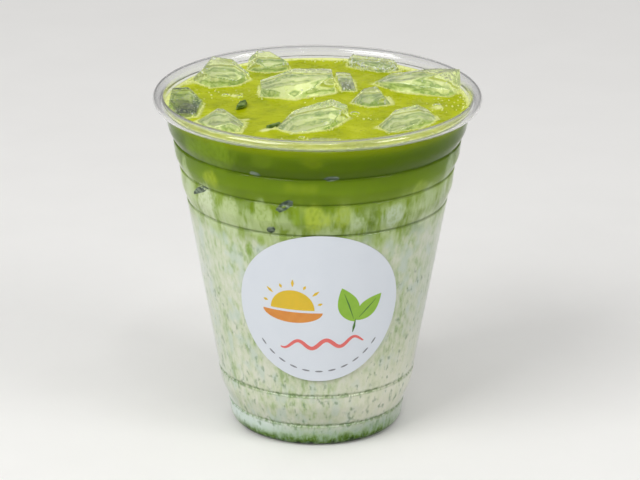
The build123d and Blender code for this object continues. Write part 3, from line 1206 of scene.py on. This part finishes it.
# Patches on the wall where one layer shows through the other: bearing, height, width,
# height of the patch, and its colour and strength.
WALL_PATCHES = (
    (-46.0, 94.5, 22.0, 9.0, (120, 148, 26), 0.70),
    (-20.0, 95.5, 9.0, 5.0, (108, 132, 26), 0.50),
    (-2.0, 96.5, 8.0, 4.0, (122, 140, 20), 0.45),
    (-0.5, 78.2, 9.0, 9.5, (164, 181, 66), 0.85),
    (10.5, 77.6, 5.0, 7.5, (160, 178, 66), 0.60),
    (-8.5, 77.5, 3.6, 7.0, (122, 150, 10), 0.70),
    (-47.5, 86.2, 6.0, 5.0, (150, 168, 42), 0.80),
    (-6.0, 87.6, 11.0, 4.0, (132, 152, 32), 0.55),
    (46.0, 83.6, 6.0, 5.5, (150, 172, 62), 0.75),
    (-37.0, 78.0, 5.5, 8.0, (184, 198, 148), 0.75),
    (-23.5, 78.0, 6.0, 9.0, (176, 192, 132), 0.75),
    (17.8, 75.6, 5.5, 8.5, (184, 199, 158), 0.80),
    (33.5, 76.6, 8.5, 7.0, (188, 202, 172), 0.85),
    (23.4, 76.0, 3.4, 11.0, (92, 118, 30), 0.70),
    (54.0, 78.0, 6.0, 9.0, (170, 188, 132), 0.70),
    (67.0, 86.5, 6.5, 8.0, (166, 184, 140), 0.80),
    (-54.5, 77.5, 8.5, 11.0, (198, 208, 174), 0.90),
    (-66.0, 84.0, 6.0, 12.0, (176, 192, 140), 0.70),
    (-31.5, 66.0, 2.6, 6.0, (122, 152, 40), 0.75),
    (-25.0, 69.5, 3.0, 4.0, (140, 166, 70), 0.65),
    (100.0, 82.0, 12.0, 9.0, (178, 194, 140), 0.75),
    (128.0, 76.0, 8.0, 8.0, (150, 172, 62), 0.70),
    (158.0, 80.0, 9.0, 10.0, (184, 198, 150), 0.75),
    (196.0, 77.0, 10.0, 8.0, (160, 180, 60), 0.75),
    (232.0, 82.0, 9.0, 10.0, (178, 194, 146), 0.75),
    (258.0, 85.0, 8.0, 10.0, (182, 198, 150), 0.75),
)
MARBLING = 13.0            # how far the layers run into each other, up and down
MARBLE_COLOURS = (
    (0.36, (142, 166, 112)),
    (0.43, (176, 191, 148)),
    (0.50, (195, 202, 176)),
    (0.62, (210, 211, 198)),
)
PATTERN_RADIUS = 0.040     # metres: the patterns of the wall are those of a straight tube


class WallNodes(Nodes):
    """Nodes for the wall, with what several of its layers of colour need."""

    def __init__(self, name):
        super().__init__(name)
        x, y, self.z = self.split(self.place)
        self.height = self.times(self.z, 1 / MM)
        self.side = self.split(self.vector("NORMALIZE", self.join(x, y, 0.0)))
        self.around = [self.times(self.side[axis], PATTERN_RADIUS) for axis in (0, 1)]
        self.sideways = self.times(self.side[0], self.side[0])
        self.long_streaks = self.streaks(4.6, 2.6, 4.0)
        self.fine_streaks = self.streaks(1.3, 3.2, 3.0)
        self.in_milk = self.upto(60.0, 74.0)

    def streaks(self, size, stretch, detail=2.0):
        """Noise drawn out upwards along the wall."""
        place = self.join(*self.around, self.times(self.z, 1 / stretch))
        return self.noise(place, size, detail)

    def upto(self, low, high):
        """One below a height, none above another."""
        return self.remap(self.height, low, high, 1.0, 0.0)

    def above(self, low, high):
        """None below a height, one above another."""
        return self.remap(self.height, low, high, 0.0, 1.0)

    def off(self, height):
        """How far a point is from a height, up or down."""
        return self.math("ABSOLUTE", self.math("SUBTRACT", self.height, height))

    def laid_over(self, colour, shade, *shares):
        """A colour with another shade over it, as strong as all the shares together."""
        whole = shares[0]
        for share in shares[1:]:
            whole = self.times(whole, share)
        return self.blend(whole, colour, srgb(*shade))


def run_together(wall):
    """The height from which each point takes its colour, as the layers run up and down."""
    run = wall.scaled(wall.streaks(12.0, 1.2), 1.8, -0.9)
    run = wall.math("ADD", run, wall.scaled(wall.long_streaks, 1.9, -0.95))
    run = wall.math("ADD", run, wall.scaled(wall.fine_streaks, 0.6, -0.3))
    run = wall.times(run, MARBLING)
    run = wall.scaled(wall.sideways, -9.0, run)
    run = wall.scaled(wall.side[0], -3.0, run)
    run = wall.times(run, wall.times(wall.upto(80.0, 90.0), wall.above(8.0, 30.0)))
    blotches = wall.scaled(wall.streaks(2.6, 1.0), 9.0, -4.5)
    return wall.scaled(blotches, wall.upto(2.0, 8.0), wall.math("ADD", wall.height, run))


def layered(wall):
    """The colours of the layers, with marbled milk below."""
    mixed = run_together(wall)
    stops = [(height / CUP_HEIGHT, shade) for height, shade in WALL_COLOURS]
    colour = wall.ramp(wall.times(mixed, 1 / CUP_HEIGHT), stops)
    marble = wall.times(wall.streaks(6.5, 1.5, 3.0), 0.45)
    marble = wall.scaled(wall.streaks(1.6, 1.7, 3.0), 0.55, marble)
    bluish = wall.remap(wall.streaks(5.0, 1.2), 0.50, 0.68, 0.0, 0.7)
    pale = wall.blend(bluish, wall.ramp(marble, MARBLE_COLOURS), srgb(186, 200, 194))
    milky = wall.times(wall.remap(mixed, 62.0, 72.0, 0.75, 0.0), wall.above(2.5, 8.0))
    return wall.blend(milky, colour, pale)


def painted_light_on_sides(wall, colour):
    """Painted light on the milk: a paler painted sheen at both sides, creamier painted light at the
    right and painted light shining through at the lower left.
    """
    # painted sheen: paler milk towards both sides
    edge = wall.remap(wall.sideways, 0.55, 1.0, 0.0, 0.5)
    colour = wall.laid_over(colour, (206, 211, 205), edge, wall.in_milk)
    # painted light: creamier milk at the right, low down
    right = wall.remap(wall.side[0], 0.05, 0.6, 0.0, 0.55)
    colour = wall.laid_over(
        colour, (232, 230, 214), right, wall.upto(14.0, 42.0), wall.above(6.0, 9.0)
    )
    # painted light shining through the foot at the lower left
    left = wall.remap(wall.side[0], -0.7, -0.1, 0.55, 0.0)
    return wall.laid_over(
        colour, (214, 226, 224), left, wall.upto(6.4, 7.4), wall.above(2.0, 4.5)
    )


def dripped(wall, colour):
    """Fingers of matcha in pale milk, about where the layers meet."""
    fingers = wall.scaled(wall.fine_streaks, 0.35, wall.streaks(5.5, 1.5, 4.0))
    drips = wall.blend(wall.remap(fingers, 0.56, 0.80), srgb(186, 200, 156), srgb(112, 138, 40))
    zone = wall.times(wall.above(66.0, 72.0), wall.upto(77.0, 83.0))
    return wall.blend(wall.times(zone, 0.55), colour, drips)


def patched(wall, colour):
    """Torn and speckled patches of one layer in the other."""
    speckle = wall.remap(wall.streaks(0.9, 1.3), 0.36, 0.56, 0.55, 1.0)
    ragged = wall.scaled(wall.fine_streaks, 0.7, -1.45)
    ragged = wall.scaled(wall.long_streaks, 2.2, ragged)
    for bearing, height, width, tall, shade, strength in WALL_PATCHES:
        centre = around(bearing, drink_radius(height), height) * MM
        away = wall.vector("SUBTRACT", wall.place, tuple(centre))
        away = wall.vector("MULTIPLY", away, (2 / (width * MM), 2 / (width * MM), 2 / (tall * MM)))
        reach = wall.math("ADD", wall.vector("LENGTH", away), ragged)
        near = wall.remap(reach, 0.55, 1.25, strength, 0.0)
        colour = wall.laid_over(colour, shade, near, speckle)
    return colour


def flecked(wall, colour):
    """Flecks of tea in the milk, fewer of them higher up."""
    flecks = wall.remap(wall.streaks(1.9, 1.3, 3.0), 0.56, 0.70)
    dense = wall.remap(wall.scaled(wall.height, -0.004, wall.streaks(9.0, 1.0)), 0.22, 0.42)
    flecks = wall.times(wall.times(flecks, dense), wall.in_milk)
    shade = wall.blend(wall.streaks(4.0, 1.0), srgb(96, 130, 62), srgb(134, 152, 138))
    return wall.blend(wall.times(flecks, 0.70), colour, shade)


def painted_ring_shade(wall, colour):
    """Painted shade in the rings: dark lines in the stacking rings, and paler broken ones at the
    heel and foot.
    """
    for depth in RING_DEPTHS:
        line = wall.remap(wall.off(CUP_HEIGHT - depth), 0.25, 0.75, 0.45, 0.0)
        colour = wall.laid_over(colour, (58, 80, 12), line)
    for height in (HEEL_RING, FOOT_RING):
        line = wall.remap(wall.off(height), 0.3, 1.1, 1.0, 0.0)
        dots = wall.remap(wall.streaks(1.6, 1.0, 1.0), 0.45, 0.62, 0.25, 0.8)
        colour = wall.laid_over(colour, (108, 132, 84), line, dots)
    return colour


def wall_material():
    """The drink at the wall: matcha that runs down into milk in fine upright streaks."""
    wall = WallNodes("drink_wall")
    colour = layered(wall)
    for add_layer in (painted_light_on_sides, dripped, patched, flecked, painted_ring_shade):
        colour = add_layer(wall, colour)
    wall.surface(
        Base_Color=colour,
        Roughness=wall.remap(wall.long_streaks, 0.3, 0.7, 0.4, 0.6),
        Specular_IOR_Level=0.0,
    )
    return wall.material


# Where undissolved grains of tea float: centre and reach.
GRAIN_PATCHES = ((-25.0, 10.0, 11.0), (33.0, -3.0, 12.0), (14.0, -28.0, 9.0), (-4.0, 33.0, 10.0))
# The open face of the matcha by its mottling.
FACE_COLOURS = (
    (0.32, (144, 158, 4)),
    (0.46, (167, 178, 6)),
    (0.58, (180, 190, 14)),
    (0.72, (197, 205, 48)),
)
# The painted shade in the hollow of the ice at the far left fades between these shares of the ice's
# width.
SHADE_REACH = (0.40, 0.56)
# Colours of the hollows in which the ice sits, from the drink's surface down: pale bands of painted
# light from the ice and dark bands of painted shade.
HOLLOW_DEPTH = 14.0
HOLLOW_LIGHT_AND_SHADE = (
    (0.14, (236, 240, 190)),
    (0.28, (226, 232, 154)),
    (0.37, (120, 150, 34)),
    (0.41, (176, 196, 96)),
    (0.50, (230, 235, 172)),
    (0.60, (214, 224, 136)),
    (0.66, (134, 162, 54)),
    (0.71, (202, 214, 118)),
    (0.85, (234, 238, 184)),
)


def hollow_light_and_shade(nodes, level):
    """What shows through the ice: bands of painted light and painted shade on the matcha, with
    painted shade deepest at the far left.
    """
    drawn_out = nodes.vector("MULTIPLY", nodes.place, (0.3, 1.0, 1.0))
    depth = nodes.math("SUBTRACT", FILL_LEVEL, level)
    depth = nodes.scaled(nodes.noise(drawn_out, 1.8, 4), 6.5, depth)
    hollow = nodes.ramp(nodes.times(depth, 1 / HOLLOW_DEPTH), HOLLOW_LIGHT_AND_SHADE)
    low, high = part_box("ice_far_left")
    away = nodes.vector("SUBTRACT", nodes.place, tuple((low + high) / 2))
    away = nodes.vector("LENGTH", nodes.vector("MULTIPLY", away, (1.0, 0.6, 0.0)))
    crystals = nodes.remap(nodes.noise(nodes.place, 0.7, 2), 0.55, 0.63)
    # painted shade under the ice at the far left, flecked with its white crystals
    dark = nodes.blend(crystals, srgb(62, 100, 4), srgb(230, 240, 172))
    start, end = ((high.x - low.x) * share for share in SHADE_REACH)
    return nodes.blend(nodes.remap(away, start, end, 1.0, 0.0), hollow, dark)


def surface_material():
    """The open face of the matcha: bright, a little cloudy, with pale froth where it climbs."""
    nodes = Nodes("drink_surface")
    level = nodes.level()
    ripple = nodes.noise(nodes.place, 9.0, 3)
    cloudy = nodes.noise(nodes.place, 2.4, 3)
    mottle = nodes.scaled(ripple, 0.75, nodes.times(cloudy, 0.25))
    face = nodes.ramp(mottle, FACE_COLOURS)
    grains = nodes.remap(nodes.noise(nodes.place, 1.2, 1), 0.68, 0.73, 0.0, 0.75)
    for x, y, reach in GRAIN_PATCHES:
        away = nodes.vector("SUBTRACT", nodes.place, (x * MM, y * MM, FILL_LEVEL * MM))
        away = nodes.times(nodes.vector("LENGTH", away), 1 / MM)
        share = nodes.times(grains, nodes.remap(away, reach * 0.4, reach, 1.0, 0.0))
        face = nodes.blend(share, face, srgb(92, 108, 14))
    in_hollow = nodes.remap(level, FILL_LEVEL - 0.8, FILL_LEVEL - 0.2, 1.0, 0.0)
    face = nodes.blend(in_hollow, face, hollow_light_and_shade(nodes, level))
    foam = nodes.scaled(cloudy, 0.30, level)
    foam = nodes.scaled(nodes.noise(nodes.place, 9.0, 1), 0.5, foam)
    foam = nodes.remap(foam, FILL_LEVEL + 0.58, FILL_LEVEL + 0.84, 0.0, 0.95)
    nodes.surface(
        Base_Color=nodes.blend(foam, face, srgb(224, 229, 156)),
        Roughness=nodes.remap(cloudy, 0.3, 0.7, 0.22, 0.36),
        Specular_IOR_Level=0.06,
        Normal=nodes.bump(nodes.noise(nodes.place, 0.7), 0.12, 0.15),
    )
    return nodes.material


def froth_material():
    """Green froth with whiter patches."""
    nodes = Nodes("froth")
    whiter = nodes.noise(nodes.place, 3)
    nodes.surface(
        Base_Color=nodes.blend(whiter, srgb(198, 207, 92), srgb(226, 231, 164)),
        Roughness=0.18,
    )
    return nodes.material


def paper_material():
    """Coated white paper with a faint tooth."""
    nodes = Nodes("label_paper")
    tooth = nodes.noise(nodes.place, 0.35, 3)
    shade = nodes.noise(nodes.place, 6, 3)
    nodes.surface(
        Base_Color=nodes.blend(shade, srgb(210, 216, 224), srgb(216, 221, 228)),
        Roughness=nodes.remap(tooth, 0.3, 0.7, 0.42, 0.55),
        Normal=nodes.bump(tooth, 0.06, 0.05),
    )
    return nodes.material


INKS = {
    "gold_ink": ((206, 178, 40), (224, 184, 30)),
    "orange_ink": ((200, 120, 48), (222, 150, 60)),
    "green_ink": ((124, 170, 40), (146, 188, 56)),
    "dark_green_ink": ((60, 104, 36), (78, 122, 46)),
    "coral_ink": ((214, 96, 92), (226, 112, 104)),
    "grey_ink": ((120, 122, 128), (142, 144, 150)),
}


def ink_material(name):
    """Ink with the slight mottling of a cheap print."""
    nodes = Nodes(name)
    thin, thick = INKS[name]
    nodes.surface(
        Base_Color=nodes.blend(nodes.noise(nodes.place, 2.2, 3), srgb(*thin), srgb(*thick)),
        Roughness=0.45,
    )
    return nodes.material


def floor_material():
    """A pale matt floor."""
    nodes = Nodes("pale_floor")
    grain = nodes.noise(nodes.place, 30, 3)
    nodes.surface(
        Base_Color=nodes.blend(grain, (0.90, 0.89, 0.87, 1), (0.94, 0.93, 0.91, 1)),
        Roughness=0.8,
    )
    return nodes.material


# ---------------------------------------------------------------- stage, light, camera

FLOOR_HALF = 3.0           # metres
WORLD_HORIZON = 0.19       # strength of the room's light from the sides
WORLD_ZENITH = 0.70        # and from above
# Lamps: name, place and size in metres, and power.
LAMPS = (
    ("window", (-0.65, -0.6, 0.8), 0.7, 7.0),
    ("fill", (0.75, -0.5, 0.7), 0.4, 2.7),
    ("glint", (0.18, -0.58, 1.2), 0.09, 0.70),
)
LAMP_TARGET = Vector((0, 0, 0.06))
# The camera's place in millimetres, its turns in degrees, and its lens.
CAMERA_DISTANCE = 936.0
CAMERA_HEIGHT = 398.0
CAMERA_SIDE = 0.92
CAMERA_PITCH = 20.03
CAMERA_ROLL = 0.25
CAMERA_LENS = 185.6


def make_stage():
    """The floor, which isn't part of the drink."""
    mesh = bpy.data.meshes.new("floor")
    corners = [(-1, -1), (1, -1), (1, 1), (-1, 1)]
    mesh.from_pydata([(x * FLOOR_HALF, y * FLOOR_HALF, 0) for x, y in corners], [], [(0, 1, 2, 3)])
    floor = in_scene("floor", mesh)
    floor.data.materials.append(floor_material())


def make_light():
    """A soft room that is brighter from above, and three square lamps."""
    world = bpy.data.worlds.new("soft_room")
    world.use_nodes = True
    nodes = world.node_tree.nodes
    links = world.node_tree.links
    way = nodes.new("ShaderNodeTexCoord")
    split = nodes.new("ShaderNodeSeparateXYZ")
    height = nodes.new("ShaderNodeMapRange")
    height.inputs["To Min"].default_value = WORLD_HORIZON
    height.inputs["To Max"].default_value = WORLD_ZENITH
    links.new(way.outputs["Generated"], split.inputs[0])
    links.new(split.outputs["Z"], height.inputs["Value"])
    links.new(height.outputs[0], nodes["Background"].inputs["Strength"])
    nodes["Background"].inputs["Color"].default_value = (1, 1, 1, 1)
    bpy.context.scene.world = world
    for name, place, size, power in LAMPS:
        lamp = bpy.data.lights.new(name, "AREA")
        lamp.size = size
        lamp.energy = power
        holder = in_scene(name, lamp)
        holder.location = place
        aim = LAMP_TARGET - Vector(place)
        holder.rotation_euler = aim.to_track_quat("-Z", "Y").to_euler()


def make_camera():
    """The camera, high and far off in front of the label."""
    lens = bpy.data.cameras.new("camera")
    lens.lens = CAMERA_LENS
    lens.clip_start = 0.05
    lens.clip_end = 20
    camera = in_scene("camera", lens)
    camera.location = (CAMERA_SIDE * MM, -CAMERA_DISTANCE * MM, CAMERA_HEIGHT * MM)
    pitch = Matrix.Rotation(math.radians(90 - CAMERA_PITCH), 4, "X")
    roll = Matrix.Rotation(math.radians(CAMERA_ROLL), 4, "Z")
    camera.rotation_euler = (pitch @ roll).to_euler()
    bpy.context.scene.camera = camera


def paint(pieces, material):
    """Gives one material to each of the pieces."""
    for piece in pieces:
        piece.data.materials.clear()
        piece.data.materials.append(material)


# ---------------------------------------------------------------- making it all

bpy.context.scene.view_settings.view_transform = "Standard"

cup = make_cup()
ice = make_ice()
splinters = make_chips("ice_splinters", SPLINTERS)
shaded = make_chips("ice_shaded_chips", SHADED_CHIPS)
sunken = make_sunken_ice()
shore = waterline(ice + [splinters])
milk = add_piece("milk", make_milk(), "milk", "milk_layer")
matcha_mesh = cut_round(make_matcha(shore), ice + [splinters])
matcha = add_piece("matcha", matcha_mesh, "matcha", "matcha_layer")
froth = make_froth(shore, ice)
bubbles = make_bubbles(shore)
air = make_trapped_air(ice)
label = make_label()
label_print, inks = make_print()

paint([cup], plastic_material())
paint([milk, matcha], wall_material())
matcha.data.materials.append(surface_material())
split_faces(matcha.data)
paint(ice + [splinters], ice_material("ice", (250, 253, 248), 0.90, 0.10))
shade_of_ice = ice_material("ice_in_shade", (206, 228, 110), 0.97, 0.05)
paint([piece for piece in ice if piece.name.startswith("ice_far_left")], shade_of_ice)
# painted shade: the sunken ends are opaque dark sheets against the plastic
paint([sunken], painted_shade_material("sunken_ice", ((48, 62, 46), (76, 92, 72), (126, 140, 118))))
# painted shade: the chips are opaque dark wedges in the shade between pieces
paint([shaded], painted_shade_material("shaded_ice", ((58, 84, 20), (90, 118, 42), (148, 168, 96))))
paint([froth], froth_material())
paint([bubbles], bubble_material())
paint([air], air_material())
paint([label], paper_material())
for ink in inks:
    label_print.data.materials.append(ink_material(ink))
make_stage()
make_light()
make_camera()
